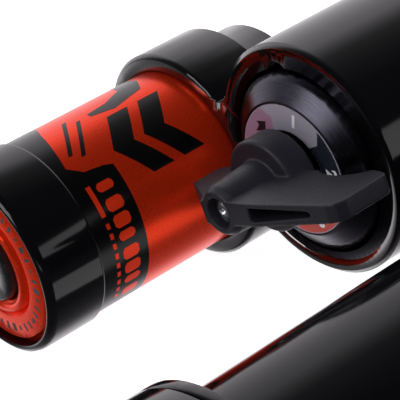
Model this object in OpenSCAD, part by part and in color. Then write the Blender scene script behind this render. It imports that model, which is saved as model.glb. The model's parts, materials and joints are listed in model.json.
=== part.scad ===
// Piggyback gas shock absorber with a three-position compression adjuster.
//
// Frame: the origin is the centre of the upper eye. +X runs along the damper from the rod
// end to the upper eye, the eye bolts lie along Y, and +Z is up. All sizes are in millimetres.
// Three parallel axes: the damper at Y = Z = 0, the valve housing beside it, and the gas
// reservoir beyond the valve housing. One machined bridge head carries all three.

/* [Damper] */
// Travel of the rod
stroke = 88.9; // [70:0.1:130]
// Outside diameter of the body tube
tube_od = 64; // [61:0.1:65]
// Bore of the body tube
tube_bore = 57.2; // [54:0.1:58]
// Diameter of the rod
rod_d = 22.2; // [16:0.1:24]
// Length of the seal head
seal_head_len = 28; // [24:1:40]
// Thickness of the piston
piston_len = 20; // [14:1:28]
// Free length of the bump stop
bump_len = 26; // [15:1:45]
// Outside diameter of the bump stop
bump_od = 38; // [32:1:44]

/* [Bridge head] */
// Distance from the upper eye's centre to the back of the bridge head
eye_drop = 32; // [29:1:50]
// Length of the part of the bridge head that holds the body tube
head_len = 35; // [28:1:50]
// Outside diameter of the bridge head round the body tube
head_od = 73; // [70:0.1:80]
// Depth to which the body tube enters the bridge head
socket_depth = 12; // [8:1:18]
// Radius of the fillets of the arm that carries the valve housing
arm_fillet = 28; // [20:1:40]

/* [Valve housing] */
// Outside diameter of the valve housing
valve_od = 64.4; // [62:0.1:68]
// Length of the valve housing
valve_len = 90; // [76:1:110]
// Bore of the valve housing at its open end
valve_bore = 51.4; // [50.6:0.1:52.4]
// Distance between the damper axis and the valve housing's axis
valve_pitch = 78; // [77:0.1:95]
// Direction of the valve housing from the damper, above the horizontal
valve_dir = 10.6; // [0:0.1:30]

/* [Gas reservoir] */
// Outside diameter of the reservoir tube
res_od = 50.8; // [46:0.1:56]
// Bore of the reservoir tube
res_bore = 45.7; // [40:0.1:46]
// Length of reservoir tube that shows between the collar and the end cap
res_show = 49; // [40:1:90]
// Distance between the valve housing's axis and the reservoir's axis
res_pitch = 55.8; // [54.6:0.1:64]
// Direction of the reservoir from the valve housing, above the horizontal
res_dir = -21.8; // [-60:0.1:0]
// Outside diameter of the reservoir collar
collar_od = 60.6; // [58:0.1:66]
// Length of the reservoir collar
collar_len = 20.6; // [18:0.1:30]
// Outside diameter of the reservoir end cap
cap_od = 52.8; // [52.4:0.1:60]
// Length of the reservoir end cap
cap_len = 18; // [15:1:34]

/* [Adjuster] */
// Distance from the valve housing's face to the dial
dial_rise = 4.8; // [4:0.1:9]
// Outside diameter of the dial label
dial_od = 36; // [34:0.1:39]
// Inside diameter of the dial label
dial_id = 21.8; // [20:0.1:23]
// Height of the knob above the dial
knob_height = 26; // [24:0.5:34]
// Diameter of the knob's hub
hub_d = 25.2; // [22:0.1:26]
// Reach of the knob's long wing from its axis
wing_reach = 42; // [36:0.5:42.5]
// Reach of the knob's short wing from its axis
tail_reach = 23.5; // [18:0.5:25]
// Thickness of the wings at the knob's axis
wing_thick = 6.8; // [6:0.1:8]

/* [Eyes] */
// Outside diameter of both eyes
eye_od = 46; // [42:1:54]
// Width of both eyes
eye_w = 24; // [22:1:32]
// Outside diameter of the bearing race
race_od = 30.2; // [28:0.1:32]
// Width of the bearing race
race_w = 15.9; // [14:0.1:18]
// Diameter of the bearing ball
ball_d = 25.4; // [24:0.1:25.6]
// Bore through the bearing spacers
bolt_bore = 12.75; // [10:0.05:13]
// Width over the bearing spacers
spacer_w = 38.1; // [34:0.1:60]
// Distance from the lower eye's centre to the seat of the bump washer
eyelet_reach = 40.5; // [36:0.1:60]

/* [Fits] */
// Radial clearance of every running or seated round fit
fit = 0.05; // [0.02:0.01:0.1]
// Gap between faces that move past each other
gap = 0.3; // [0.1:0.1:0.6]
// Chamfer on turned outside edges
edge = 1.2; // [0.4:0.1:2]

/* [Hidden] */
$fn = 96;

BLACK = "#17171a";
GRAPHITE = "#3a3a42";
ORANGE = "#e2390f";
STEEL = "#b8bcc2";
BRASS = "#b08a3e";
RUBBER = "#101010";

tube_r = tube_od / 2;
bore_r = tube_bore / 2;
rod_r = rod_d / 2;
head_r = head_od / 2;
valve_r = valve_od / 2;
valve_bore_r = valve_bore / 2;
res_r = res_od / 2;
res_bore_r = res_bore / 2;
collar_r = collar_od / 2;
cap_r = cap_od / 2;
eye_r = eye_od / 2;

// Stations along X, from the upper eye towards the rod end
head_back = -eye_drop;
head_front = head_back - head_len;
tube_back = head_front + socket_depth;
face_x = head_back - valve_len;
dial_x = face_x - dial_rise;

bumper_len = 6;
shims_len = 3;
nut_len = 11;
tip_len = 1.5;
stack_len = bumper_len + shims_len + piston_len + shims_len + nut_len + tip_len;
end_room = 12.4;
seal_in = tube_back - end_room - stroke - stack_len;
tube_front = seal_in - seal_head_len;
cap_grip = 10;
cap_wall = 6.2;
cap_back = tube_front + cap_grip;
cap_front = tube_front - cap_wall;
jam_len = 3;
bearing_cap_r = tube_r + 6.1;
jam_r = bearing_cap_r - 0.1;

bumper_back = seal_in + gap + bumper_len;
piston_front = bumper_back + shims_len;
piston_back = piston_front + piston_len;
nut_front = piston_back + shims_len;
post_r = rod_r * 0.57;
rod_tip = nut_front + nut_len + tip_len;
bump_face = cap_front - gap - stroke;
washer_len = 3;
eyelet_seat = bump_face - bump_len - washer_len;
lower_eye_x = eyelet_seat - eyelet_reach;
rod_thread_len = 12;
rod_thread_r = rod_r - 1.6;

// Places in the Y, Z plane
function heading_vector(a) = [cos(a), sin(a)];
valve_at = valve_pitch * heading_vector(valve_dir);
res_at = valve_at + res_pitch * heading_vector(res_dir);
lever_dir = res_dir + 180;

// Reservoir stations
res_back = face_x + collar_len - 3;
res_cap_back = face_x - res_show;
res_cap_front = res_cap_back - cap_len;
cap_lip = 3.5;
cap_lip_r = res_bore_r + 1.25;
plug_flange = 2.5;
res_front = res_cap_front + cap_lip + plug_flange;
plug_back = res_front + 18;
plug_face = res_cap_front + 1.2;
boss_r = res_r + 0.6;
boss_back = face_x + collar_len + 15;
chamber_back = boss_back - 7;
piston_len_float = 18;
float_back = res_back - 2;
float_front = float_back - piston_len_float;
pocket_r = 10.9;
pocket_depth = 7;
gas_r = 5;
gas_back = plug_back + 3;
gas_front = plug_face + pocket_depth - 4;

// Valve housing stations
thread_r = valve_bore_r - 0.1;
bezel_thread_front = face_x + 3;
bezel_back = face_x + 22;
step_x = face_x + 52;
step_r = valve_bore_r - 5;
valve_floor = head_back - 10;
bezel_base_r = valve_bore_r - 1.2;
bezel_top_r = dial_od / 2 + 0.6;
label_thick = 0.4;
label_sink = 0.3;
boss_shoulder_r = 8.8;
shaft_r = 5;
spindle_r = 3.5;
flange_r = 10;
flange_front = bezel_back + gap;
flange_back = flange_front + 3;
spool_r = 13;
spool_back = flange_back + 15;
base_front = step_x - 2;
base_back = step_x + 10;
ball_track_r = 7.5;
detent_r = 1.5;
detent_x = bezel_back - 0.4;

// Knob heights above the dial
hub_low = 2.8;
hub_high = 10.8;
screw_seat = knob_height - 3.2;
shaft_top = knob_height - 8;
screw_len = 12;
screw_r = 1.5;
screw_head_r = 2.85;

// ---------------------------------------------------------------- helpers

// Puts local x, y and z along Y, Z and X
module along_x() rotate([90, 0, 90]) children();
// Puts local z along Y
module along_y() rotate([-90, 0, 0]) children();
module at_valve() translate([0, valve_at.x, valve_at.y]) children();
module at_reservoir() translate([0, res_at.x, res_at.y]) children();

// A body turned about X from an outline of [radius, x]
module turned(outline) along_x() rotate_extrude() polygon(outline);
// A body turned about Y from an outline of [radius, y]
module turned_y(outline) along_y() rotate_extrude() polygon(outline);
// A ring about X with chamfered outside edges
module ring(r_in, r_out, x0, x1, c0 = 0, c1 = 0) turned([
    [r_in, x0], [r_out - c0, x0], [r_out, x0 + c0], [r_out, x1 - c1], [r_out - c1, x1], [r_in, x1]
]);
// A round hole or rod about X
module bar(r, x0, x1) translate([x0, 0, 0]) along_x() cylinder(r = r, h = x1 - x0);
// An outline in the Y, Z plane with a thickness along X
module slab(x0, x1) translate([x0, 0, 0]) along_x() linear_extrude(x1 - x0) children();
// Copies round an axis along X
module around(count, radius, start = 0)
    for (i = [0:count - 1])
        rotate([start + i * 360 / count, 0, 0]) translate([0, radius, 0]) children();
// An O-ring about X
module o_ring(r, x, section) translate([x, 0, 0]) along_x()
    rotate_extrude() translate([r, 0]) circle(r = section, $fn = 32);

function heading(v) = atan2(v.y, v.x);
function short_turn(a) = a > 180 ? a - 360 : a < -180 ? a + 360 : a;
// Centre of the fillet that touches two circles on one side of their centre line
function fillet_centre(c1, r1, c2, r2, rf, side) =
    let (
        d = norm(c2 - c1),
        u = (c2 - c1) / d,
        a = (d * d + pow(r1 + rf, 2) - pow(r2 + rf, 2)) / (2 * d),
        h = sqrt(pow(r1 + rf, 2) - a * a)
    ) c1 + a * u + side * h * [-u.y, u.x];
function fillet_arc(c1, r1, c2, r2, rf, side, steps = 12) =
    let (
        f = fillet_centre(c1, r1, c2, r2, rf, side),
        a1 = heading(c1 - f),
        turn = short_turn(heading(c2 - f) - a1)
    ) [for (i = [0:steps]) f + rf * heading_vector(a1 + turn * i / steps)];
// The waisted web between two circles, with a fillet at each side
module waist(c1, r1, c2, r2, rf) polygon(concat(
    [c1], fillet_arc(c1, r1, c2, r2, rf, 1), [c2], fillet_arc(c2, r2, c1, r1, rf, 1)
));
// The straight-sided web between two circles, along their outer tangents
module tangent_web(c1, r1, c2, r2) {
    d = norm(c2 - c1);
    u = (c2 - c1) / d;
    lean = (r1 - r2) / d;
    across = sqrt(1 - lean * lean) * [-u.y, u.x];
    polygon([
        c1 + r1 * (lean * u + across), c1 + r1 * (lean * u - across),
        c2 + r2 * (lean * u - across), c2 + r2 * (lean * u + across)
    ]);
}

// ---------------------------------------------------------------- eyes

ring_wire = 1.2;
ring_groove_r = race_od / 2 + 1;
ball_r = ball_d / 2;
ball_w = race_w + 2.1;
stem_r = 7.85;
neck_r = 8.4;

module eye_cut() {
    turned_y([
        [0, -eye_w / 2 - 1], [race_od / 2 + fit, -eye_w / 2 - 1],
        [race_od / 2 + fit, eye_w / 2 + 1], [0, eye_w / 2 + 1]
    ]);
    for (side = [0, 1]) mirror([0, side, 0]) turned_y([
        [0, race_w / 2], [ring_groove_r, race_w / 2],
        [ring_groove_r, race_w / 2 + ring_wire + 0.1], [0, race_w / 2 + ring_wire + 0.1]
    ]);
}
module race() color(STEEL) along_y() rotate_extrude() difference() {
    polygon([
        [ball_r - 5, -race_w / 2], [race_od / 2 - 0.5, -race_w / 2], [race_od / 2, -race_w / 2 + 0.5],
        [race_od / 2, race_w / 2 - 0.5], [race_od / 2 - 0.5, race_w / 2], [ball_r - 5, race_w / 2]
    ]);
    circle(r = ball_r + fit);
    mouth = sqrt(pow(ball_r + fit, 2) - pow(race_w / 2, 2));
    for (side = [0, 1]) mirror([0, side]) polygon([
        [0, race_w / 2 - 0.8], [mouth - 0.2, race_w / 2 - 0.8], [mouth + 0.9, race_w / 2 + 0.1],
        [0, race_w / 2 + 0.1]
    ]);
}
module ball() color(STEEL) along_y() rotate_extrude() intersection() {
    circle(r = ball_r);
    translate([stem_r + fit, -ball_w / 2]) square([ball_r, ball_w]);
}
module spacers() color(BLACK) for (side = [0, 1]) mirror([0, side, 0]) turned_y([
    [bolt_bore / 2, 0.5], [stem_r, 0.5], [stem_r, ball_w / 2], [neck_r, ball_w / 2],
    [neck_r, eye_w / 2 - 0.5], [neck_r + 2.6, eye_w / 2 + 1.5], [neck_r + 2.6, spacer_w / 2 - 0.6],
    [neck_r + 2, spacer_w / 2], [bolt_bore / 2, spacer_w / 2]
]);
module snap_rings() color(STEEL) for (side = [0, 1]) mirror([0, side, 0]) difference() {
    turned_y([
        [race_od / 2 - 2, race_w / 2], [ring_groove_r - 0.1, race_w / 2],
        [ring_groove_r - 0.1, race_w / 2 + ring_wire], [race_od / 2 - 2, race_w / 2 + ring_wire]
    ]);
    translate([0, race_w / 2 - 1, -3]) cube([race_od, ring_wire + 2, 6]);
}
// A lug along X that ends in an eye at the origin: reach to its root, half height and half width there
module lug(reach, root_h, root_w) intersection() {
    along_y() translate([0, 0, -30]) linear_extrude(60) {
        circle(r = eye_r);
        lean = asin((root_h - eye_r) / reach);
        polygon([
            [-reach, -root_h], [-reach, root_h],
            eye_r * [sin(lean), cos(lean)], eye_r * [sin(lean), -cos(lean)]
        ]);
    }
    translate([0, 0, -60]) linear_extrude(120) polygon([
        [-reach, -root_w], [-eye_r + 2, -eye_w / 2], [eye_r + 1, -eye_w / 2], [eye_r + 1, eye_w / 2],
        [-eye_r + 2, eye_w / 2], [-reach, root_w]
    ]);
}

// ---------------------------------------------------------------- bridge head and damper body

module bridge_head() color(BLACK) difference() {
    union() {
        ring(0, head_r, head_front, head_back, edge, 3);
        at_valve() ring(0, valve_r, face_x, head_back, edge, 3);
        slab(head_front + edge, head_back - 3)
            waist([0, 0], head_r - 1, valve_at, valve_r - 1, arm_fillet);
        at_reservoir() ring(0, collar_r, face_x, face_x + collar_len, edge, edge);
        slab(face_x, face_x + collar_len) waist(res_at, collar_r - 0.8, valve_at, valve_r - 0.8, 4);
        at_reservoir() ring(0, boss_r, face_x + collar_len, boss_back, 0, 3);
        slab(face_x + collar_len, boss_back - 3)
            tangent_web(res_at, boss_r - 8, valve_at, valve_r - 14);
        lug(eye_drop + 4, 30, 20);
    }
    bar(tube_r + fit, head_front - 1, tube_back);
    bar(bore_r, tube_back - 1, tube_back + 8);
    eye_cut();
    at_valve() {
        bar(valve_bore_r, face_x - 1, step_x);
        bar(step_r, step_x - 1, valve_floor);
        bar(8 + fit, valve_floor - 1, head_back + 1);
        rotate([lever_dir - 90, 0, 0]) translate([0, valve_bore_r - 1.9, 0])
            bar(3.7, face_x - 1, face_x + 3);
    }
    at_reservoir() {
        bar(res_r + fit, face_x - 1, res_back);
        bar(res_bore_r, res_back - 1, chamber_back);
        turned([[0, face_x - 1], [res_r + 1.75, face_x - 1], [res_r + fit, face_x + 0.7], [0, face_x + 0.7]]);
    }
    // Oil ways: damper to valve chamber, valve chamber to reservoir
    translate([tube_back + 4.5, 0, 0]) rotate([valve_dir, 0, 0]) along_y()
        cylinder(r = 3.5, h = valve_pitch);
    translate([(res_back + chamber_back) / 2, valve_at.x, valve_at.y]) rotate([res_dir, 0, 0])
        along_y() cylinder(r = 4, h = res_pitch);
    o_ring(tube_r + fit, tube_back - 5, 1.4);
    at_reservoir() o_ring(res_r + fit, res_back - 6, 1.2);
}
module body_tube() color(BLACK) ring(bore_r, tube_r, tube_front, tube_back, 0.6, 0.6);
module jam_ring() color(BLACK) difference() {
    ring(tube_r + fit, jam_r, cap_back, cap_back + jam_len, 0.5, 0.4);
    around(4, jam_r, 15) bar(2, cap_back - 1, cap_back + jam_len + 1);
}
module bearing_cap() color(BLACK) difference() {
    turned([
        [rod_r + 6, cap_front], [bearing_cap_r - 2, cap_front], [bearing_cap_r, cap_front + 2],
        [bearing_cap_r, cap_back - edge], [bearing_cap_r - edge, cap_back], [tube_r + fit, cap_back],
        [tube_r + fit, tube_front], [rod_r + 6, tube_front]
    ]);
    around(6, tube_r - 5, 30) bar(2.5, cap_front - 1, cap_front + 4);
}
seal_groove_r = rod_r + 4.4;
bush_r = rod_r + 1.9;
wiper_back = tube_front + 5;
rod_seal_front = wiper_back + 2.5;
rod_seal_back = rod_seal_front + 6;
bush_front = rod_seal_back + 2;
module seal_head() color(GRAPHITE) difference() {
    ring(0, bore_r - fit, tube_front, seal_in, 0.4, 1);
    bar(rod_r + 0.4, tube_front - 1, seal_in + 1);
    bar(seal_groove_r, tube_front - 1, wiper_back);
    bar(seal_groove_r, rod_seal_front, rod_seal_back);
    bar(bush_r, bush_front, seal_in - 1.5);
    for (x = [tube_front + 8, seal_in - 8]) o_ring(bore_r - 1.3, x, 1.4);
}
module rod_bushing() color(BRASS) ring(rod_r + fit, bush_r - fit, bush_front, seal_in - 1.5);
module rod_seal() color("#2c4a7a")
    ring(rod_r + fit, seal_groove_r - fit, rod_seal_front, rod_seal_back);
module rod_wiper() color(RUBBER) turned([
    [rod_r + fit, tube_front - 4], [rod_r + 1.6, tube_front - 4], [rod_r + 3.4, tube_front],
    [seal_groove_r - fit, tube_front], [seal_groove_r - fit, wiper_back], [rod_r + fit, wiper_back]
]);
module body_orings() color(RUBBER) {
    for (x = [tube_front + 8, seal_in - 8]) o_ring(bore_r - 1.3, x, 1.25);
    intersection() {
        o_ring(tube_r + fit, tube_back - 5, 1.3);
        ring(tube_r + 0.02, tube_r + 3, tube_back - 8, tube_back - 2);
    }
}
module fill_plug() color(STEEL) at_valve() difference() {
    union() {
        bar(8, valve_floor, head_back);
        ring(0, 11, head_back, head_back + 4, 0, 0.8);
    }
    translate([head_back - 1, 0, 0]) along_x() cylinder(r = 5, h = 6, $fn = 6);
}

// ---------------------------------------------------------------- gas reservoir

module reservoir_tube() color(ORANGE) at_reservoir()
    ring(res_bore_r, res_r, res_front, res_back, 0.4, 0.4);
module reservoir_end_cap() color(BLACK) at_reservoir() turned([
    [cap_lip_r, res_cap_front + 0.3], [cap_lip_r + 0.3, res_cap_front],
    [cap_r - 1.4, res_cap_front], [cap_r - 0.4, res_cap_front + 0.8], [cap_r, res_cap_front + 2.2],
    [cap_r, res_cap_back - 0.8], [cap_r - 0.5, res_cap_back], [res_r + fit, res_cap_back],
    [res_r + fit, res_cap_front + cap_lip],
    [cap_lip_r, res_cap_front + cap_lip]
]);
module reservoir_plug() color(ORANGE) at_reservoir() difference() {
    turned([
        [0, plug_back], [res_bore_r - fit, plug_back], [res_bore_r - fit, res_front],
        [res_r - 0.6, res_front], [res_r - 0.6, res_cap_front + cap_lip],
        [res_bore_r - 0.75, res_cap_front + cap_lip], [res_bore_r - 0.75, plug_face],
        [16, plug_face], [14.8, plug_face + 1.5], [14.1, plug_face - 0.8], [12.6, plug_face - 1],
        [11.7, plug_face + 0.6], [0, plug_face + 0.6]
    ]);
    bar(pocket_r, plug_face - 2, plug_face + pocket_depth);
    bar(gas_r + fit, plug_face, plug_back + 1);
    o_ring(res_bore_r - fit, plug_back - 7, 1.3);
}
module reservoir_orings() color(RUBBER) at_reservoir() {
    intersection() {
        o_ring(res_r + fit, res_back - 6, 1.1);
        ring(res_r + 0.02, res_r + 3, res_back - 9, res_back - 3);
    }
    intersection() {
        o_ring(res_bore_r - fit, plug_back - 7, 1.2);
        ring(res_bore_r - 3, res_bore_r - 0.02, plug_back - 10, plug_back - 4);
    }
}
module gas_valve_body() color(BRASS) at_reservoir() difference() {
    union() {
        bar(gas_r, gas_front + 4, gas_back);
        ring(0, 3.85, gas_front, gas_front + 4, 0.4);
        ring(0, gas_r + 2, plug_back, gas_back);
    }
    bar(1.4, gas_front - 1, gas_back + 1);
}
module gas_valve_pin() color(STEEL) at_reservoir() {
    bar(0.9, gas_front + 0.4, gas_back);
    ring(0, 3, gas_back + 0.1, gas_back + 2.4);
    bar(0.9, gas_back - 0.5, gas_back + 0.5);
}
module gas_valve_cap() color(BLACK) at_reservoir() difference() {
    ring(0, pocket_r - 0.3, plug_face - 2.5, plug_face + pocket_depth, 1);
    bar(4, gas_front - 0.5, plug_face + pocket_depth + 1);
    translate([plug_face - 3, 0, 0]) along_x() cylinder(r = 4, h = 4.5, $fn = 6);
}
module floating_piston() color(STEEL) at_reservoir() difference() {
    ring(0, res_bore_r - 0.25, float_front, float_back, 0.6, 0.6);
    bar(res_bore_r - 5, float_front - 1, float_front + 11);
    ring(res_bore_r - 3, res_bore_r + 1, float_back - 10.5, float_back - 7);
    for (x = [float_front + 2, float_back - 5]) ring(res_bore_r - 1.5, res_bore_r + 1, x, x + 3);
}
module floating_piston_ring() color(RUBBER) at_reservoir()
    ring(res_bore_r - 2.95, res_bore_r - fit, float_back - 10.4, float_back - 7.1, 0.5, 0.5);
module floating_piston_bands() color("#6b4a2a") at_reservoir()
    for (x = [float_front + 2.1, float_back - 4.9])
        ring(res_bore_r - 1.45, res_bore_r - fit, x, x + 2.8);

// ---------------------------------------------------------------- compression adjuster

module adjuster_bezel() color(GRAPHITE) at_valve() difference() {
    union() {
        turned([
            [0, dial_x], [bezel_top_r, dial_x], [bezel_top_r + 0.4, dial_x + 0.4],
            [bezel_base_r, face_x - 0.4], [bezel_base_r, bezel_thread_front],
            [thread_r, bezel_thread_front], [thread_r, bezel_back], [0, bezel_back]
        ]);
        ring(0, boss_shoulder_r, dial_x - hub_low + gap, dial_x + 1, 0.5);
    }
    bar(shaft_r + fit, dial_x - hub_low - 1, bezel_back + 1);
    ring(dial_id / 2 - 0.3, dial_od / 2 + 0.1, dial_x - 1, dial_x + label_sink);
    o_ring(shaft_r, face_x + 6, 1.1);
    o_ring(thread_r, bezel_back - 5, 1.3);
    rotate([lever_dir, 0, 0]) translate([0, ball_track_r, 0])
        bar(detent_r + fit, bezel_back - 9, bezel_back + 1);
}
module dial_label() color("#c9c6d2") at_valve()
    ring(dial_id / 2, dial_od / 2, dial_x + label_sink - label_thick, dial_x + label_sink);
module adjuster_orings() color(RUBBER) at_valve() {
    intersection() {
        o_ring(shaft_r, face_x + 6, 1);
        ring(shaft_r + fit, shaft_r + 3, face_x + 3, face_x + 9);
    }
    intersection() {
        o_ring(thread_r, bezel_back - 5, 1.2);
        ring(thread_r - 3, valve_bore_r - 0.02, bezel_back - 8, bezel_back - 2);
    }
}
// Local x along the long wing, local y across it, and local z away from the dial
module knob_frame() at_valve() translate([dial_x, 0, 0]) along_x() rotate([0, 0, lever_dir])
    mirror([0, 0, 1]) children();
module wing_side() difference() {
    polygon([
        [-6, knob_height], [13, knob_height], [wing_reach - 3.6, knob_height - 3.3],
        [wing_reach - 1.2, knob_height - 4.4], [wing_reach, knob_height - 7], [wing_reach - 0.4, 6],
        [wing_reach - 1.6, 4.4], [wing_reach - 4, 3.5], [wing_reach - 7.5, 3.3], [15.8, 5.6],
        [-12, 4.7], [1 - tail_reach, 4.7], [-tail_reach, 6], [-tail_reach, knob_height - 11.1],
        [-9.5, knob_height - 3.4]
    ]);
    scallop_r = 14.2;
    translate([wing_reach - 17.2, 7.4 - scallop_r]) circle(r = scallop_r);
}
module wing_front() polygon([
    [-tail_reach - 1, wing_thick * 0.34], [0, wing_thick / 2], [wing_reach + 1, wing_thick * 0.34],
    [wing_reach + 1, -wing_thick * 0.34], [0, -wing_thick / 2], [-tail_reach - 1, -wing_thick * 0.34]
]);
module adjuster_knob() color("#26262b") knob_frame() difference() {
    union() {
        translate([0, 0, hub_low]) rotate_extrude() polygon([
            [0, 0], [hub_d / 2, 0], [hub_d / 2, hub_high - hub_low - 0.6],
            [hub_d / 2 - 0.6, hub_high - hub_low], [0, hub_high - hub_low]
        ]);
        rotate_extrude() polygon([
            [0, hub_high - 1], [7.7, hub_high - 1], [6.8, knob_height - 1.8],
            [5.6, knob_height], [0, knob_height]
        ]);
        intersection() {
            translate([0, 25, 0]) rotate([90, 0, 0]) linear_extrude(50) wing_side();
            linear_extrude(knob_height + 1) wing_front();
        }
    }
    translate([0, 0, hub_low - 1]) cylinder(r = spindle_r + fit, h = shaft_top - hub_low + 1.3);
    cylinder(r = screw_r + 0.2, h = knob_height + 1);
    translate([0, 0, screw_seat]) cylinder(r = screw_head_r + 1.25, h = 10);
    translate([0, 0, knob_height - 9]) linear_extrude(12) polygon([
        [12.6, -1.9], [12.6, 1.9], [wing_reach - 9.8, 0.75], [wing_reach - 9, 0], [wing_reach - 9.8, -0.75]
    ]);
}
module knob_screw() color(STEEL) knob_frame() difference() {
    union() {
        translate([0, 0, screw_seat - screw_len]) cylinder(r = screw_r, h = screw_len + 0.5);
        translate([0, 0, screw_seat]) rotate_extrude() polygon([
            [0, 0], [screw_head_r, 0], [screw_head_r, 0.4], [screw_head_r - 0.4, 1.1],
            [screw_head_r - 1.2, 1.6], [0, 1.75]
        ]);
    }
    translate([0, 0, screw_seat + 0.6]) cylinder(r = 1.15, h = 3, $fn = 6);
}
module adjuster_shaft() color(STEEL) difference() {
    union() {
        knob_frame() cylinder(r = spindle_r, h = shaft_top);
        at_valve() bar(shaft_r, dial_x - hub_low + gap + 0.2, flange_front + 1);
        at_valve() ring(0, flange_r, flange_front, flange_back);
        at_valve() bar(spindle_r, flange_back - 1, spool_back);
    }
    knob_frame() translate([0, 0, screw_seat - screw_len - 1]) cylinder(r = screw_r + fit, h = 20);
    at_valve() o_ring(ball_track_r, detent_x, detent_r + 0.2);
}
module metering_spool() color(BRASS) at_valve() difference() {
    bar(spool_r, flange_back + 0.2, spool_back);
    bar(spindle_r + fit, flange_back - 1, spool_back + 1);
    bar(spool_r - 3, flange_back + 6, spool_back + 1);
    for (i = [0:2]) rotate([i * 68, 0, 0]) translate([spool_back - 5, 0, 0])
        along_y() cylinder(r = 1 + 0.8 * i, h = spool_r + 1);
}
module detent_ball() color(STEEL) at_valve() rotate([lever_dir, 0, 0])
    translate([detent_x, ball_track_r, 0]) sphere(r = detent_r, $fn = 48);
// The detent spring is a helix of round wire, swept by rings
spring_wire = 0.3;
spring_turns = 5;
spring_len = 5.6;
spring_sides = 8;
spring_rings = spring_turns * 12;
function spring_point(i, k) =
    let (a = 30 * i, s = 360 * k / spring_sides, r = detent_r - 0.45 + spring_wire * cos(s))
    [r * cos(a), r * sin(a), spring_len * i / spring_rings + spring_wire * sin(s)];
module detent_spring() color(STEEL) at_valve() rotate([lever_dir, 0, 0])
    translate([bezel_back - 8.4, ball_track_r, 0]) along_x() polyhedron(
        points = [for (i = [0:spring_rings], k = [0:spring_sides - 1]) spring_point(i, k)],
        faces = concat(
            [[for (k = [0:spring_sides - 1]) k]],
            [for (i = [0:spring_rings - 1], k = [0:spring_sides - 1])
                let (a = i * spring_sides, n = (k + 1) % spring_sides, b = a + spring_sides)
                [a + k, b + k, b + n, a + n]],
            [[for (k = [spring_sides - 1:-1:0]) spring_rings * spring_sides + k]]
        )
    );
module valve_cage() color(STEEL) at_valve() difference() {
    ring(thread_r - 4, thread_r - 0.4, bezel_back, base_front);
    around(4, 0, 45) translate([bezel_back + 14, 0, 0]) along_y() cylinder(r = 5, h = valve_r);
}
module base_valve() color(STEEL) at_valve() difference() {
    turned([
        [3 + fit, base_front], [thread_r - 0.4, base_front], [thread_r - 0.4, step_x],
        [step_r - fit, step_x], [step_r - fit, base_back], [3 + fit, base_back]
    ]);
    around(6, 12) bar(2.6, base_front - 1, base_back + 1);
}
module base_valve_shims() color("#8b8f96") at_valve() for (i = [0:2]) {
    ring(3 + fit, 16 - 3 * i, base_front - 0.5 * (i + 1), base_front - 0.5 * i);
    ring(3 + fit, 16 - 3 * i, base_back + 0.5 * i, base_back + 0.5 * (i + 1));
}
module base_valve_bolt() color(STEEL) at_valve() difference() {
    union() {
        bar(3, base_front - 1.5, base_back + 6.5);
        bar(6, base_front - 5, base_front - 1.5);
    }
    translate([base_front - 6, 0, 0]) along_x() cylinder(r = 2.5, h = 3, $fn = 6);
}
module base_valve_nut() color(STEEL) at_valve() difference() {
    translate([base_back + 1.5, 0, 0]) along_x() cylinder(r = 6, h = 4, $fn = 6);
    bar(3 + fit, base_back, base_back + 7);
}

// ---------------------------------------------------------------- rod assembly

module rod() color("#d9dce0") turned([
    [0, eyelet_seat - rod_thread_len], [rod_thread_r - 1, eyelet_seat - rod_thread_len],
    [rod_thread_r, eyelet_seat - rod_thread_len + 1], [rod_thread_r, eyelet_seat],
    [rod_r, eyelet_seat], [rod_r, bumper_back], [post_r, bumper_back], [post_r, rod_tip - 1],
    [post_r - 1, rod_tip], [0, rod_tip]
]);
module piston() color(STEEL) difference() {
    ring(post_r + fit, bore_r - 0.5, piston_front, piston_back, 0.6, 0.6);
    ring(bore_r - 2, bore_r + 1, piston_front + 3.5, piston_back - 3.5);
    around(6, bore_r * 0.62) bar(3, piston_front - 1, piston_back + 1);
    around(6, bore_r * 0.5, 30) bar(2, piston_front - 1, piston_back + 1);
}
module piston_band() color("#6b4a2a")
    ring(bore_r - 2 + fit, bore_r - fit, piston_front + 3.55, piston_back - 3.55);
module shim_stack(start, way) for (i = [0:5])
    let (x = start + way * 0.5 * i)
        ring(post_r + fit, bore_r * 0.76 - 2.5 * i, min(x, x + way * 0.5), max(x, x + way * 0.5));
module compression_shims() color("#8b8f96") shim_stack(piston_back, 1);
module rebound_shims() color("#8b8f96") shim_stack(piston_front, -1);
module piston_nut() color(STEEL) difference() {
    union() {
        ring(0, post_r + 5.5, nut_front, nut_front + 2);
        translate([nut_front + 2, 0, 0]) along_x() cylinder(r = post_r + 5, h = nut_len - 2, $fn = 6);
    }
    bar(post_r + fit, nut_front - 1, nut_front + nut_len + 1);
}
module top_out_bumper() color(RUBBER)
    ring(rod_r + fit, rod_r + 7, bumper_back - bumper_len, bumper_back, 1, 1);
module bump_washer() color(STEEL)
    ring(rod_r + fit, bump_od / 2 + 1.5, eyelet_seat, eyelet_seat + washer_len, 0.5, 0.5);
module bump_stop() color("#d8a22a") {
    back = eyelet_seat + washer_len;
    r = bump_od / 2;
    turned([
        [rod_r + 0.2, back], [r, back], [r, back + bump_len * 0.3], [r - 2.5, back + bump_len * 0.4],
        [r - 0.8, back + bump_len * 0.5], [r - 1.6, back + bump_len * 0.66],
        [r - 4.5, back + bump_len * 0.74], [r - 3.4, back + bump_len * 0.82],
        [r - 6, back + bump_len], [rod_r + 0.2, back + bump_len]
    ]);
}
module rod_eyelet() color(BLACK) difference() {
    union() {
        translate([lower_eye_x, 0, 0]) rotate([0, 180, 0]) lug(eyelet_reach - 9, 15, 13);
        ring(0, rod_r + 5.9, eyelet_seat - 20, eyelet_seat, 3, edge);
    }
    translate([lower_eye_x, 0, 0]) eye_cut();
    bar(rod_thread_r + fit, eyelet_seat - rod_thread_len - 1.5, eyelet_seat + 1);
}

// ---------------------------------------------------------------- one line a node

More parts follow.
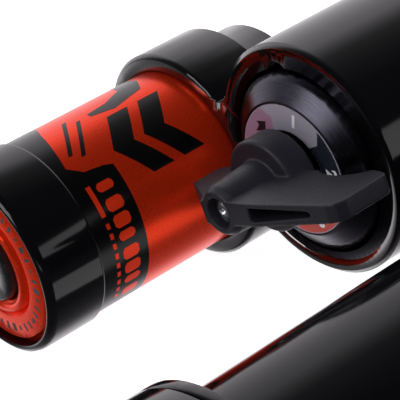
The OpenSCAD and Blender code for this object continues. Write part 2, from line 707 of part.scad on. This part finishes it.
bridge_head();
body_tube();
jam_ring();
bearing_cap();
seal_head();
rod_bushing();
rod_seal();
rod_wiper();
body_orings();
fill_plug();
reservoir_tube();
reservoir_end_cap();
reservoir_plug();
reservoir_orings();
gas_valve_body();
gas_valve_pin();
gas_valve_cap();
floating_piston();
floating_piston_ring();
floating_piston_bands();
adjuster_bezel();
dial_label();
adjuster_knob();
knob_screw();
adjuster_shaft();
metering_spool();
adjuster_orings();
detent_ball();
detent_spring();
valve_cage();
base_valve();
base_valve_shims();
base_valve_bolt();
base_valve_nut();
rod();
piston();
piston_band();
compression_shims();
rebound_shims();
piston_nut();
top_out_bumper();
bump_washer();
bump_stop();
rod_eyelet();
race();  // upper_race
ball();  // upper_ball
spacers();  // upper_spacers
snap_rings();  // upper_snap_rings
translate([lower_eye_x, 0, 0]) race();  // lower_race
translate([lower_eye_x, 0, 0]) ball();  // lower_ball
translate([lower_eye_x, 0, 0]) spacers();  // lower_spacers
translate([lower_eye_x, 0, 0]) snap_rings();  // lower_snap_rings
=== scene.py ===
"""Looks for a gas shock absorber with a piggyback reservoir and a winged compression knob.

Everything is in metres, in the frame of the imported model: the origin is the upper eye, +X runs
from the rod end to the upper eye, the eye bolts lie along Y, and +Z is up.
"""

import json
import math

import bmesh
import bpy
from bpy.props import FloatProperty, FloatVectorProperty, PointerProperty
from mathutils import Matrix, Vector

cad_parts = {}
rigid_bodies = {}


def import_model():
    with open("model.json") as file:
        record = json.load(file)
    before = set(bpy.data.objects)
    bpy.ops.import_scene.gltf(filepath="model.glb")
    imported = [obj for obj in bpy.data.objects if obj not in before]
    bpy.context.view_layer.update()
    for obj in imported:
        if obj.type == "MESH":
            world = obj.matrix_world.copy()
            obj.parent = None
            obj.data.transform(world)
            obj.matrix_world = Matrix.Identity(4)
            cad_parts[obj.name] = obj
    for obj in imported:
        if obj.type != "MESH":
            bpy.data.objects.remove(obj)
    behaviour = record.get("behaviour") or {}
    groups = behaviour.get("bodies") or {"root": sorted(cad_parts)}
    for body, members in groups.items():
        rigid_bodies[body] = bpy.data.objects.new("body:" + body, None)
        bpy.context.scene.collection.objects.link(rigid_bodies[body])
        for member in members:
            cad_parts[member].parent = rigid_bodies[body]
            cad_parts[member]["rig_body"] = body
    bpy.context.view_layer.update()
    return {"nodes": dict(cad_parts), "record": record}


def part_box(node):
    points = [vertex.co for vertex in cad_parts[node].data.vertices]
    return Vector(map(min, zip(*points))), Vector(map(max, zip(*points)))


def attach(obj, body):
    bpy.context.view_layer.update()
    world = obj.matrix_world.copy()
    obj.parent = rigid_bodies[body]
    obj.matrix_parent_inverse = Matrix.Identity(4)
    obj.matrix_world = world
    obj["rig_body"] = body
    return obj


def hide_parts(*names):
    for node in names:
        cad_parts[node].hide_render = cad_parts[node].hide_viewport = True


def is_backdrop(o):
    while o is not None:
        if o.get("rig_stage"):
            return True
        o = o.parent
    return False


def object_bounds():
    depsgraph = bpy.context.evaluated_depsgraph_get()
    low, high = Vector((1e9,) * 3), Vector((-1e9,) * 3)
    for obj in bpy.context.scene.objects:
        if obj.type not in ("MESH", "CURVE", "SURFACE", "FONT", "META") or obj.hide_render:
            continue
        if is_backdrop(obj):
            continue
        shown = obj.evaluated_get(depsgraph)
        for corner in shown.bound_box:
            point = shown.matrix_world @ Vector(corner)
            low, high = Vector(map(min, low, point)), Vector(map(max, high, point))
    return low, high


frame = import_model()

bl_info = {
    "name": "Gas shock absorber",
    "version": (1, 0, 0),
    "blender": (4, 5, 0),
    "location": "3D View > Sidebar > Shock",
    "description": "Builds the visible pieces and the studio of a piggyback gas shock absorber",
    "category": "Object",
}

NODES = frame["nodes"]
MM = 0.001
DIGIT_SIZE = 4.9
DIGIT_WEIGHT = 0.22
DIGIT_RADIUS = 14.5
PLUG_FACE_DEPTH = 1.2 * MM
PLUG_TICKS = 40
PLUG_TICK_RADIUS = 19.2 * MM
PLUG_TICK_THICKNESS = 0.06 * MM
LAMP_DISTANCE = 0.9


def centre_of(node):
    low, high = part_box(node)
    return (low + high) / 2


VALVE = centre_of("adjuster_bezel")
RESERVOIR = centre_of("reservoir_tube")
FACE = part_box("bridge_head")[0].x
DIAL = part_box("dial_label")[0].x
LEVER = math.atan2(VALVE.z - RESERVOIR.z, VALVE.y - RESERVOIR.y)


# ---------------------------------------------------------------- sizes and colours


def length(name, description, default, low, high):
    return FloatProperty(
        name=name, description=description, default=default, min=low, max=high,
        subtype="DISTANCE", unit="LENGTH", precision=5,
    )


def colour(name, description, default):
    return FloatVectorProperty(
        name=name, description=description, default=default, min=0, max=1, size=3, subtype="COLOR"
    )


def radius_of(node):
    low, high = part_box(node)
    return (high.y - low.y) / 2


class ShockSizes(bpy.types.PropertyGroup):
    """Sizes of the visible pieces"""

    reservoir_radius: length(
        "Reservoir radius", "Outside radius of the reservoir tube", radius_of("reservoir_tube"), 0.02, 0.03
    )
    dial_outer: length(
        "Dial radius", "Outside radius of the dial print", radius_of("dial_label"), 0.015, 0.022
    )
    dial_inner: length(
        "Dial hole radius", "Inside radius of the dial print", 0.0109, 0.009, 0.012
    )
    print_thickness: length(
        "Print thickness", "Thickness of the printed film on the reservoir", 0.00005, 0.00002, 0.0002
    )
    knob_grain: length("Knob voxel", "Fineness of the knob's cast skin", 0.0003, 0.0002, 0.001)


class ShockFinishes(bpy.types.PropertyGroup):
    """Colours of the finishes"""

    black: colour("Black", "Hard black anodising", (0.003, 0.0028, 0.0036))
    orange: colour("Orange", "Orange-red anodising", (1.0, 0.046, 0.008))
    graphite: colour("Graphite", "Graphite anodising of the bezel", (0.07, 0.067, 0.088))
    knob: colour("Knob", "Charcoal cast knob", (0.0145, 0.0145, 0.0215))
    print_black: colour("Print black", "Black film on the reservoir", (0.002, 0.002, 0.0025))
    dial_light: colour("Dial light", "Sector of position 1", (0.36, 0.34, 0.42))
    dial_navy: colour("Dial dark", "Sector of position 2", (0.018, 0.02, 0.034))
    dial_red: colour("Dial red", "Sector of position 3", (0.62, 0.06, 0.035))
    dial_rose: colour("Dial rose", "Spare sector", (0.36, 0.2, 0.3))


# ---------------------------------------------------------------- finishes


class Finish:
    """One procedural material on Object coordinates."""

    def __init__(self, name):
        self.material = bpy.data.materials.new(name)
        self.material.use_nodes = True
        self.tree = self.material.node_tree
        self.shader = self.tree.nodes["Principled BSDF"]
        self.place = self.node("ShaderNodeTexCoord").outputs["Object"]

    def node(self, kind, **settings):
        node = self.tree.nodes.new(kind)
        for key, value in settings.items():
            setattr(node, key, value)
        return node

    def join(self, source, socket):
        self.tree.links.new(source, socket)

    def set(self, **sockets):
        for name, value in sockets.items():
            self.shader.inputs[name.replace("_", " ")].default_value = value
        return self

    def noise(self, scale, stretch=(1, 1, 1), detail=3.0):
        mapping = self.node("ShaderNodeMapping")
        mapping.inputs["Scale"].default_value = stretch
        self.join(self.place, mapping.inputs["Vector"])
        noise = self.node("ShaderNodeTexNoise")
        noise.inputs["Scale"].default_value = scale
        noise.inputs["Detail"].default_value = detail
        self.join(mapping.outputs["Vector"], noise.inputs["Vector"])
        return noise.outputs["Fac"]

    def between(self, source, low, high):
        scale = self.node("ShaderNodeMapRange")
        scale.inputs["From Min"].default_value = 0.3
        scale.inputs["From Max"].default_value = 0.7
        scale.inputs["To Min"].default_value = low
        scale.inputs["To Max"].default_value = high
        self.join(source, scale.inputs["Value"])
        return scale.outputs["Result"]

    def mottled(self, source, tone, depth):
        mix = self.node("ShaderNodeMix", data_type="RGBA")
        mix.inputs["A"].default_value = (*[c * (1 - depth) for c in tone], 1)
        mix.inputs["B"].default_value = (*[min(1, c * (1 + depth)) for c in tone], 1)
        self.join(source, mix.inputs["Factor"])
        self.join(mix.outputs["Result"], self.shader.inputs["Base Color"])

    def rough(self, source, low, high):
        self.join(self.between(source, low, high), self.shader.inputs["Roughness"])

    def bump(self, source, strength, depth):
        bump = self.node("ShaderNodeBump")
        bump.inputs["Strength"].default_value = strength
        bump.inputs["Distance"].default_value = depth
        self.join(source, bump.inputs["Height"])
        self.join(bump.outputs["Normal"], self.shader.inputs["Normal"])


ALONG = (1, 0.02, 0.02)
GRAIN_DEPTH = 0.00001


def metal(name, tone, rough=(0.2, 0.3), mottle=0.06, turned_marks=True, bump=0.04, **sockets):
    """Bare or dyed metal with turning marks round X or an even fine grain."""
    made_of = Finish(name)
    made_of.set(Metallic=1.0, **sockets)
    grain = made_of.noise(9000 if turned_marks else 2500, ALONG if turned_marks else (1, 1, 1))
    cloud = made_of.noise(60)
    made_of.mottled(cloud, tone, mottle)
    made_of.rough(grain, *rough)
    made_of.bump(grain, bump, 0.00002)
    return made_of.material


def skin(name, tone, rough=(0.3, 0.4), mottle=0.08, scale=1500, bump=0.1, depth=0.00005, **sockets):
    """Plastic, rubber, paint or print with an even fine grain."""
    made_of = Finish(name)
    made_of.set(**sockets)
    grain = made_of.noise(scale)
    cloud = made_of.noise(45)
    made_of.mottled(cloud, tone, mottle)
    made_of.rough(grain, *rough)
    made_of.bump(grain, bump, depth)
    return made_of.material


FINISHES = {}


def make_finishes(tones):
    """Fills FINISHES, one material for each slot and print colour."""
    FINISHES.update({
        "anodised_black": skin(
            "anodised_black", tones.black, (0.08, 0.12), 0.1, 2200, 0.01, GRAIN_DEPTH, IOR=1.5
        ),
        # The body tube's black is the anodised black with a lower IOR, so the tube reflects less: painted
        # shade, a dimmer copy that stands in for shade the lamps don't cast on it.
        "tube_black_painted_shade": skin(
            "tube_black_painted_shade", tones.black, (0.08, 0.12), 0.1, 2200, 0.01, GRAIN_DEPTH, IOR=1.33
        ),
        "polished_black": skin(
            "polished_black", tones.black, (0.06, 0.09), 0.1, 2200, 0.01, GRAIN_DEPTH, IOR=2.8
        ),
        "anodised_graphite": metal("anodised_graphite", tones.graphite, (0.22, 0.34), Anisotropic=0.6),
        "anodised_orange": skin(
            "anodised_orange", tones.orange, (0.27, 0.3), 0.04, 2600, 0.0, GRAIN_DEPTH,
            Metallic=0.72, Specular_IOR_Level=0.3,
        ),
        "machined_aluminium": metal("machined_aluminium", (0.62, 0.63, 0.65), (0.25, 0.4)),
        "bronze": metal("bronze", (0.55, 0.38, 0.16), (0.28, 0.42)),
        "seal_blue": skin("seal_blue", (0.06, 0.13, 0.32), (0.35, 0.45)),
        "rubber_black": skin("rubber_black", (0.02, 0.02, 0.02), (0.55, 0.7)),
        "wear_band": skin("wear_band", (0.22, 0.12, 0.05), (0.45, 0.6)),
        "zinc_steel": metal("zinc_steel", (0.55, 0.56, 0.58), (0.3, 0.42)),
        "bearing_steel": metal("bearing_steel", (0.6, 0.6, 0.62), (0.1, 0.18), turned_marks=False),
        "shim_steel": metal("shim_steel", (0.42, 0.44, 0.47), (0.25, 0.35)),
        "bright_screw": metal("bright_screw", (0.92, 0.9, 0.92), (0.3, 0.4), turned_marks=False),
        "chrome_rod": metal("chrome_rod", (0.78, 0.79, 0.81), (0.05, 0.09), 0.03),
        "cap_plastic": skin("cap_plastic", (0.01, 0.01, 0.012), (0.12, 0.2), IOR=1.6),
        "dial_print": skin("dial_print", tones.dial_light, (0.3, 0.36), 0.03, Coat_Weight=0.3),
        "knob_polymer": skin("knob_polymer", tones.knob, (0.4, 0.58), 0.12, 1900, 0.35, 0.00008, IOR=1.55),
        "bump_elastomer": skin("bump_elastomer", (0.62, 0.36, 0.06), (0.6, 0.8), 0.1, 900, 0.3, 0.0001),
        "spacer_black": metal("spacer_black", (0.03, 0.03, 0.035), (0.25, 0.35)),
        "print_black": skin("print_black", tones.print_black, (0.2, 0.26), 0.05, IOR=1.4),
        "print_orange": skin(
            "print_orange", [c * 0.9 for c in tones.orange], (0.3, 0.34), 0.04, 2600, 0.0, GRAIN_DEPTH,
            Metallic=0.5, Specular_IOR_Level=0.3,
        ),
        "dial_navy": skin("dial_navy", tones.dial_navy, (0.26, 0.32), 0.05, IOR=1.6),
        "dial_red": skin("dial_red", tones.dial_red, (0.3, 0.36), 0.04, Coat_Weight=0.3),
        "dial_rose": skin("dial_rose", tones.dial_rose, (0.3, 0.36), 0.04, Coat_Weight=0.3),
        "dial_digit": skin("dial_digit", (0.86, 0.86, 0.9), (0.35, 0.4), 0.02),
        "dial_mark": skin("dial_mark", (0.01, 0.01, 0.012), (0.35, 0.4), 0.02),
    })


# ---------------------------------------------------------------- making pieces


def piece(name, bm, finish, body, nodes=(), sharp=30):
    """Closes the mesh, shades it, and rides it on its body."""
    bmesh.ops.remove_doubles(bm, verts=bm.verts[:], dist=1e-6)
    bmesh.ops.recalc_face_normals(bm, faces=bm.faces[:])
    mesh = bpy.data.meshes.new(name)
    bm.to_mesh(mesh)
    bm.free()
    mesh.materials.append(FINISHES[finish])
    mesh.shade_smooth()
    mesh.set_sharp_from_angle(angle=math.radians(sharp))
    obj = bpy.data.objects.new(name, mesh)
    bpy.context.scene.collection.objects.link(obj)
    even = obj.modifiers.new("even_shading", "WEIGHTED_NORMAL")
    even.mode, even.weight, even.keep_sharp = "FACE_AREA", 100, True
    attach(obj, body)
    if nodes:
        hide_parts(*nodes)
    return obj


def merged(node):
    """A copy of a CAD node's triangles with its vertices merged."""
    bm = bmesh.new()
    bm.from_mesh(NODES[node].data)
    bmesh.ops.remove_doubles(bm, verts=bm.verts[:], dist=1e-6)
    return bm


def carried(node, finish, face=None):
    """A node's skin; face is (station, finish) for the flat faces it has there."""
    obj = piece(node + "_skin", merged(node), finish, NODES[node]["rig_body"], [node])
    if face:
        station, second = face
        obj.data.materials.append(FINISHES[second])
        for polygon in obj.data.polygons:
            if abs(polygon.center.x - station) < 0.0002 and polygon.normal.x < -0.99:
                polygon.material_index = 1
    return obj


def flat_shape(loops):
    """A filled flat shape from closed loops of (u, v) in mm; later loops may be holes."""
    curve = bpy.data.curves.new("flat_shape", "CURVE")
    curve.dimensions = "2D"
    curve.fill_mode = "BOTH"
    for loop in loops:
        spline = curve.splines.new("POLY")
        spline.points.add(len(loop) - 1)
        for point, (u, v) in zip(spline.points, loop):
            point.co = (u, v, 0, 1)
        spline.use_cyclic_u = True
    return mesh_of(curve)


def mesh_of(curve):
    """A bmesh of a curve or text, lying flat in mm."""
    holder = bpy.data.objects.new("holder", curve)
    bpy.context.scene.collection.objects.link(holder)
    bpy.context.view_layer.update()
    shown = holder.evaluated_get(bpy.context.evaluated_depsgraph_get())
    mesh = bpy.data.meshes.new_from_object(shown)
    bm = bmesh.new()
    bm.from_mesh(mesh)
    bpy.data.objects.remove(holder)
    bpy.data.curves.remove(curve)
    bpy.data.meshes.remove(mesh)
    bmesh.ops.remove_doubles(bm, verts=bm.verts[:], dist=0.002)
    return bm


def wrapped(bm, radius, thickness):
    """Wraps a flat shape (u along X from the face, v round the reservoir, in mm) on the tube."""
    lows = [min(v.co[i] for v in bm.verts) for i in (0, 1)]
    highs = [max(v.co[i] for v in bm.verts) for i in (0, 1)]
    step = 1.2
    count = int((highs[1] - lows[1]) / step)
    for i in range(1, count + 1):
        bmesh.ops.bisect_plane(
            bm, geom=bm.verts[:] + bm.edges[:] + bm.faces[:], dist=1e-5,
            plane_co=(0, lows[1] + i * step, 0), plane_no=(0, 1, 0),
        )
    bmesh.ops.recalc_face_normals(bm, faces=bm.faces[:])
    sheet = bmesh.ops.extrude_face_region(bm, geom=bm.faces[:])
    top = {v for v in sheet["geom"] if isinstance(v, bmesh.types.BMVert)}
    for vert in bm.verts:
        r = radius + (thickness if vert in top else -thickness)
        a = vert.co.y * MM / radius
        vert.co = (FACE + vert.co.x * MM, RESERVOIR.y + r * math.cos(a), RESERVOIR.z + r * math.sin(a))
    return bm


def box_loop(u0, u1, v0, v1, corner=0.0):
    """A rectangle with cut corners."""
    c = corner
    if not c:
        return [(u0, v0), (u1, v0), (u1, v1), (u0, v1)]
    return [
        (u0 + c, v0), (u1 - c, v0), (u1, v0 + c), (u1, v1 - c),
        (u1 - c, v1), (u0 + c, v1), (u0, v1 - c), (u0, v0 + c),
    ]


def polar(radius, degrees):
    """A point on the dial, turned from the knob's long wing."""
    return radius * math.cos(math.radians(degrees)), radius * math.sin(math.radians(degrees))


def sector(start, end, inner, outer):
    """A dial sector between two arrow-shaped borders, degrees from the knob's long wing."""
    middle = (inner + outer) / 2
    count = max(4, int((end - start) / 3))
    outside = [polar(outer, start - 3 + (end - start) * i / count) for i in range(count + 1)]
    inside = [polar(inner, end - (end - start) * i / count) for i in range(count + 1)]
    return [*outside, polar(middle, end + 5), *inside, polar(middle, start + 5)]


def printed(bm, height):
    """Stands a flat shape (mm, u along the knob's long wing) on the dial's face."""
    bmesh.ops.recalc_face_normals(bm, faces=bm.faces[:])
    sheet = bmesh.ops.extrude_face_region(bm, geom=bm.faces[:])
    top = {v for v in sheet["geom"] if isinstance(v, bmesh.types.BMVert)}
    cos, sin = math.cos(LEVER), math.sin(LEVER)
    for vert in bm.verts:
        u, v = vert.co.x * MM, vert.co.y * MM
        x = DIAL - height * MM if vert in top else DIAL + 0.02 * MM
        vert.co = (x, VALVE.y + u * cos - v * sin, VALVE.z + u * sin + v * cos)
    return bm


class ShockOperator:
    bl_options = {"REGISTER", "UNDO"}

    def execute(self, context):
        self.make(context.scene.shock_sizes, context.scene.shock_finishes)
        return {"FINISHED"}


# ---------------------------------------------------------------- pieces


class SHOCK_OT_finishes(ShockOperator, bpy.types.Operator):
    """Makes every material"""

    bl_idname = "shock.finishes"
    bl_label = "Finishes"

    def make(self, sizes, tones):
        make_finishes(tones)
        slots = {row["node"]: row["material_slot"] for row in frame["record"]["subparts"]}
        for node, obj in NODES.items():
            obj.data.materials.clear()
            obj.data.materials.append(FINISHES[slots[node]])


class SHOCK_OT_damper(ShockOperator, bpy.types.Operator):
    """Body tube, jam ring, bearing cap and bridge head"""

    bl_idname = "shock.damper"
    bl_label = "Damper body"

    def make(self, sizes, tones):
        carried("bridge_head", "anodised_black", (FACE, "polished_black"))
        # The body tube wears the dimmer copy of the black anodising: painted shade.
        carried("body_tube", "tube_black_painted_shade")
        for node in ("jam_ring", "bearing_cap"):
            carried(node, "anodised_black")
        carried("fill_plug", "zinc_steel")


class SHOCK_OT_reservoir(ShockOperator, bpy.types.Operator):
    """Reservoir tube with its print, end cap, plug and gas cap"""

    bl_idname = "shock.reservoir"
    bl_label = "Gas reservoir"

    def make(self, sizes, tones):
        for node in ("reservoir_tube", "reservoir_plug"):
            carried(node, "anodised_orange")
        carried("reservoir_end_cap", "anodised_black")
        carried("gas_valve_cap", "cap_plastic")
        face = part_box("reservoir_end_cap")[0].x + PLUG_FACE_DEPTH
        bm = bmesh.new()
        for i in range(PLUG_TICKS):
            tick = bmesh.ops.create_cube(bm, size=1)["verts"]
            long = 2.3 if i % 3 else 1.3
            wide = 0.9 if i % 4 else 1.6
            turn = Matrix.Rotation(math.tau * i / PLUG_TICKS, 4, "X")
            place = Matrix.Translation((face, PLUG_TICK_RADIUS, 0))
            shape = Matrix.Diagonal((PLUG_TICK_THICKNESS, long * MM, wide * MM, 1))
            centre = Matrix.Translation((0, RESERVOIR.y, RESERVOIR.z))
            bmesh.ops.transform(bm, verts=tick, matrix=centre @ turn @ place @ shape)
        piece("plug_marks", bm, "dial_mark", "damper_body")


class SHOCK_OT_print(ShockOperator, bpy.types.Operator):
    """Black film and orange marks on the reservoir tube"""

    bl_idname = "shock.print"
    bl_label = "Reservoir print"

    def make(self, sizes, tones):
        radius, film = sizes.reservoir_radius, sizes.print_thickness
        per_degree = radius / MM * math.pi / 180
        black = [
            # the band along the end cap and the panel that widens from it
            [[(u, a * per_degree) for u, a in (
                (-50, 20), (-40, 20), (-38.5, 64), (-41.5, 80), (-44, 100), (-45.5, 114),
                (-42, 121), (-36, 123), (-33.6, 125), (-33.6, 262), (-50, 262),
            )]],
            # two chevrons
            [[(u, a * per_degree) for u, a in (
                (-7, 94), (-14, 94), (-20.5, 118), (-14, 141), (-7, 141), (-13.5, 118),
            )]],
            [[(u, a * per_degree) for u, a in (
                (-17.5, 94), (-24.5, 94), (-31, 118), (-24.5, 141), (-17.5, 141), (-24, 118),
            )]],
            # a slanted bar and two strokes above them
            [[(u, a * per_degree) for u, a in (
                (-6, 56), (-6, 72), (-9, 84), (-20, 90), (-27, 86), (-27, 82), (-20, 80), (-13, 72),
                (-10.5, 56),
            )]],
            [[(u, a * per_degree) for u, a in ((-30, 84), (-31.4, 84), (-39.5, 112), (-38.1, 112))]],
            [[(u, a * per_degree) for u, a in ((-32.8, 78), (-34.2, 78), (-42.4, 108), (-41, 108))]],
        ]
        for i, loops in enumerate(black):
            bm = wrapped(flat_shape(loops), radius, film)
            piece(f"reservoir_print_{i}", bm, "print_black", "damper_body")
        marks = [box_loop(-44.6, -43.2, 130 * per_degree, 150 * per_degree)]
        for i in range(8):
            a = (131 + 10.5 * i) * per_degree
            wide = 3.6 if i % 3 else 2.6
            marks.append(box_loop(-41.8, -36.6, a, a + wide, 0.8))
        for i in range(9):
            a = (154 + 6.5 * i) * per_degree
            marks.append(box_loop(-44.4, -43.3, a, a + 1.6))
        for i, loop in enumerate(marks):
            bm = wrapped(flat_shape([loop]), radius, film * 2)
            piece(f"reservoir_mark_{i}", bm, "print_orange", "damper_body")


class SHOCK_OT_adjuster(ShockOperator, bpy.types.Operator):
    """Bezel, dial, knob and knob screw"""

    bl_idname = "shock.adjuster"
    bl_label = "Adjuster"

    def make(self, sizes, tones):
        carried("adjuster_bezel", "anodised_graphite")
        carried("dial_label", "dial_print")
        carried("adjuster_shaft", "zinc_steel")
        carried("knob_screw", "bright_screw")
        bm = merged("adjuster_knob")
        mesh = bpy.data.meshes.new("knob_blank")
        bm.to_mesh(mesh)
        bm.free()
        blank = bpy.data.objects.new("knob_blank", mesh)
        bpy.context.scene.collection.objects.link(blank)
        cast = blank.modifiers.new("cast", "REMESH")
        cast.mode = "VOXEL"
        cast.voxel_size = sizes.knob_grain
        bpy.context.view_layer.update()
        bm = bmesh.new()
        bm.from_object(blank, bpy.context.evaluated_depsgraph_get())
        bpy.data.objects.remove(blank)
        bpy.data.meshes.remove(mesh)
        for _ in range(3):
            bmesh.ops.smooth_vert(
                bm, verts=bm.verts[:], factor=0.5, use_axis_x=True, use_axis_y=True, use_axis_z=True
            )
        piece("knob_cast", bm, "knob_polymer", "adjuster", ["adjuster_knob"], sharp=60)


class SHOCK_OT_dial(ShockOperator, bpy.types.Operator):
    """Coloured sectors, digits and arrow mark of the dial"""

    bl_idname = "shock.dial"
    bl_label = "Dial print"

    def make(self, sizes, tones):
        inner, outer = sizes.dial_inner / MM, sizes.dial_outer / MM
        for name, start, end, finish in (
            ("light", -103, -33, "dial_print"), ("dark", -33, 39, "dial_navy"),
            ("red", 39, 111, "dial_red"), ("rose", 111, 257, "dial_rose"),
        ):
            loop = sector(start, end, inner + 0.1, outer - 0.25)
            piece(f"dial_{name}", printed(flat_shape([loop]), 0.03), finish, "damper_body")
        for name, turn in (("1", -64), ("2", 4), ("3", 76)):
            words = bpy.data.curves.new("digit", "FONT")
            words.body, words.size = name, DIGIT_SIZE
            words.align_x, words.align_y = "CENTER", "CENTER"
            words.offset = DIGIT_WEIGHT
            bm = mesh_of(words)
            place = Matrix.Rotation(math.radians(turn), 4, "Z")
            bmesh.ops.transform(
                bm, verts=bm.verts[:],
                matrix=place @ Matrix(((0, 1, 0, DIGIT_RADIUS), (1, 0, 0, 0), (0, 0, 1, 0), (0, 0, 0, 1))),
            )
            piece(f"dial_digit_{name}", printed(bm, 0.06), "dial_digit", "damper_body")
        corners = ((15.8, -121.8), (14.1, -109.5), (12.3, -118.5), (14.5, -132.5), (14.6, -122.3))
        arrow = [polar(*row) for row in corners]
        piece("dial_arrow", printed(flat_shape([arrow]), 0.06), "dial_mark", "damper_body")


class SHOCK_OT_rod(ShockOperator, bpy.types.Operator):
    """Rod, bump stop, washer and lower eyelet"""

    bl_idname = "shock.rod"
    bl_label = "Rod assembly"

    def make(self, sizes, tones):
        carried("rod", "chrome_rod")
        carried("rod_wiper", "rubber_black")
        carried("bump_stop", "bump_elastomer")
        carried("bump_washer", "zinc_steel")
        carried("rod_eyelet", "anodised_black")


class SHOCK_OT_eyes(ShockOperator, bpy.types.Operator):
    """Bearings, spacers and snap rings of both eyes"""

    bl_idname = "shock.eyes"
    bl_label = "Eyes"

    def make(self, sizes, tones):
        for eye in ("upper", "lower"):
            carried(eye + "_race", "bearing_steel")
            carried(eye + "_ball", "bearing_steel")
            carried(eye + "_spacers", "spacer_black")
            carried(eye + "_snap_rings", "shim_steel")


class SHOCK_OT_stage(ShockOperator, bpy.types.Operator):
    """Camera, floor, world and soft lights"""

    bl_idname = "shock.stage"
    bl_label = "Stage"

    def make(self, sizes, tones):
        scene = bpy.context.scene
        scene.view_settings.view_transform = "Standard"
        camera = bpy.data.cameras.new("camera")
        camera.lens, camera.sensor_width = 173.85, 36
        camera.clip_start, camera.clip_end = 0.05, 20
        holder = bpy.data.objects.new("camera", camera)
        scene.collection.objects.link(holder)
        right = Vector((0.7429, -0.6638, -0.0862)).normalized()
        back = Vector((-0.5148, -0.6488, 0.5604)).normalized()
        up = back.cross(right).normalized()
        right = up.cross(back)
        holder.matrix_world = Matrix((
            (right.x, up.x, back.x, -0.3989),
            (right.y, up.y, back.y, -0.2270),
            (right.z, up.z, back.z, 0.2834),
            (0, 0, 0, 1),
        ))
        scene.camera = holder

        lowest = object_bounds()[0].z
        bm = bmesh.new()
        bmesh.ops.create_grid(bm, x_segments=2, y_segments=2, size=6)
        bmesh.ops.translate(bm, verts=bm.verts[:], vec=(0, 0, lowest - 0.0005))
        mesh = bpy.data.meshes.new("floor")
        bm.to_mesh(mesh)
        bm.free()
        floor = bpy.data.objects.new("floor", mesh)
        scene.collection.objects.link(floor)
        paint = skin("floor_paint", (0.9, 0.9, 0.9), (0.8, 0.9), 0.01)
        lift = paint.node_tree.nodes["Principled BSDF"]
        lift.inputs["Emission Color"].default_value = (1, 1, 1, 1)
        lift.inputs["Emission Strength"].default_value = 0.95
        mesh.materials.append(paint)
        floor.visible_glossy = False
        floor.visible_shadow = False
        floor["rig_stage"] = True

        world = bpy.data.worlds.new("studio")
        scene.world = world
        world.use_nodes = True
        tree = world.node_tree
        nodes, links = tree.nodes, tree.links
        nodes.clear()
        out = nodes.new("ShaderNodeOutputWorld")
        place = nodes.new("ShaderNodeTexCoord")
        dot = nodes.new("ShaderNodeVectorMath")
        dot.operation = "DOT_PRODUCT"
        dot.inputs[1].default_value = (0.532, 0.802, -0.271)
        links.new(place.outputs["Generated"], dot.inputs[0])
        ramp = nodes.new("ShaderNodeValToRGB")
        stops = ramp.color_ramp.elements
        levels = ((0.475, 0.03), (0.6, 0.1), (0.7, 0.2), (0.74, 0.4), (0.82, 0.95), (0.925, 1.0))
        for place_on, level in levels:
            stops.new(place_on).color = (level, level * 0.96, level, 1)
        stops[0].color = (0.004, 0.004, 0.005, 1)
        stops[-1].color = (1.0, 0.96, 1.0, 1)
        spread = nodes.new("ShaderNodeMapRange")
        spread.inputs["From Min"].default_value = -1
        spread.inputs["From Max"].default_value = 1
        links.new(dot.outputs["Value"], spread.inputs["Value"])
        links.new(spread.outputs["Result"], ramp.inputs["Fac"])
        sky = nodes.new("ShaderNodeBackground")
        sky.inputs["Strength"].default_value = 1.12
        links.new(ramp.outputs["Color"], sky.inputs["Color"])
        white = nodes.new("ShaderNodeBackground")
        white.inputs["Color"].default_value = (1, 1, 1, 1)
        seen = nodes.new("ShaderNodeLightPath")
        mix = nodes.new("ShaderNodeMixShader")
        links.new(seen.outputs["Is Camera Ray"], mix.inputs["Fac"])
        links.new(sky.outputs["Background"], mix.inputs[1])
        links.new(white.outputs["Background"], mix.inputs[2])
        links.new(mix.outputs["Shader"], out.inputs["Surface"])

        aim = Vector((-0.15, 0.10, 0.0))
        for name, way, wide, high, power, mirrored in (
            ("fill_box", (-0.2, -0.5, 0.85), 0.8, 0.8, 4.0, False),
            ("left_box", (-0.82, 0.24, 0.51), 0.5, 0.5, 2.2, True),
            ("right_box", (0.505, -0.86, -0.08), 0.38, 1.1, 1.25, True),
        ):
            light = bpy.data.lights.new(name, "AREA")
            light.shape = "RECTANGLE"
            light.size, light.size_y = wide, high
            light.energy = power
            lamp = bpy.data.objects.new(name, light)
            scene.collection.objects.link(lamp)
            out_way = Vector(way).normalized()
            lamp.location = aim + out_way * LAMP_DISTANCE
            lamp.rotation_mode = "QUATERNION"
            lamp.rotation_quaternion = (-out_way).to_track_quat("-Z", "Y")
            lamp.visible_glossy = mirrored


PARTS = (
    SHOCK_OT_finishes, SHOCK_OT_damper, SHOCK_OT_reservoir, SHOCK_OT_print, SHOCK_OT_adjuster,
    SHOCK_OT_dial, SHOCK_OT_rod, SHOCK_OT_eyes, SHOCK_OT_stage,
)


class SHOCK_PT_panel(bpy.types.Panel):
    """Lists the pieces of the shock absorber"""

    bl_idname = "SHOCK_PT_panel"
    bl_label = "Gas shock absorber"
    bl_space_type = "VIEW_3D"
    bl_region_type = "UI"
    bl_category = "Shock"

    def draw(self, context):
        for group in (context.scene.shock_sizes, context.scene.shock_finishes):
            for name in group.__annotations__:
                self.layout.prop(group, name)
        for part in PARTS:
            self.layout.operator(part.bl_idname)


CLASSES = (ShockSizes, ShockFinishes, *PARTS, SHOCK_PT_panel)


def register():
    for cls in CLASSES:
        bpy.utils.register_class(cls)
    bpy.types.Scene.shock_sizes = PointerProperty(type=ShockSizes)
    bpy.types.Scene.shock_finishes = PointerProperty(type=ShockFinishes)


def unregister():
    del bpy.types.Scene.shock_finishes
    del bpy.types.Scene.shock_sizes
    for cls in reversed(CLASSES):
        bpy.utils.unregister_class(cls)


def main():
    register()
    for part in PARTS:
        group, name = part.bl_idname.split(".")
        getattr(getattr(bpy.ops, group), name)()


if __name__ == "__main__":
    main()
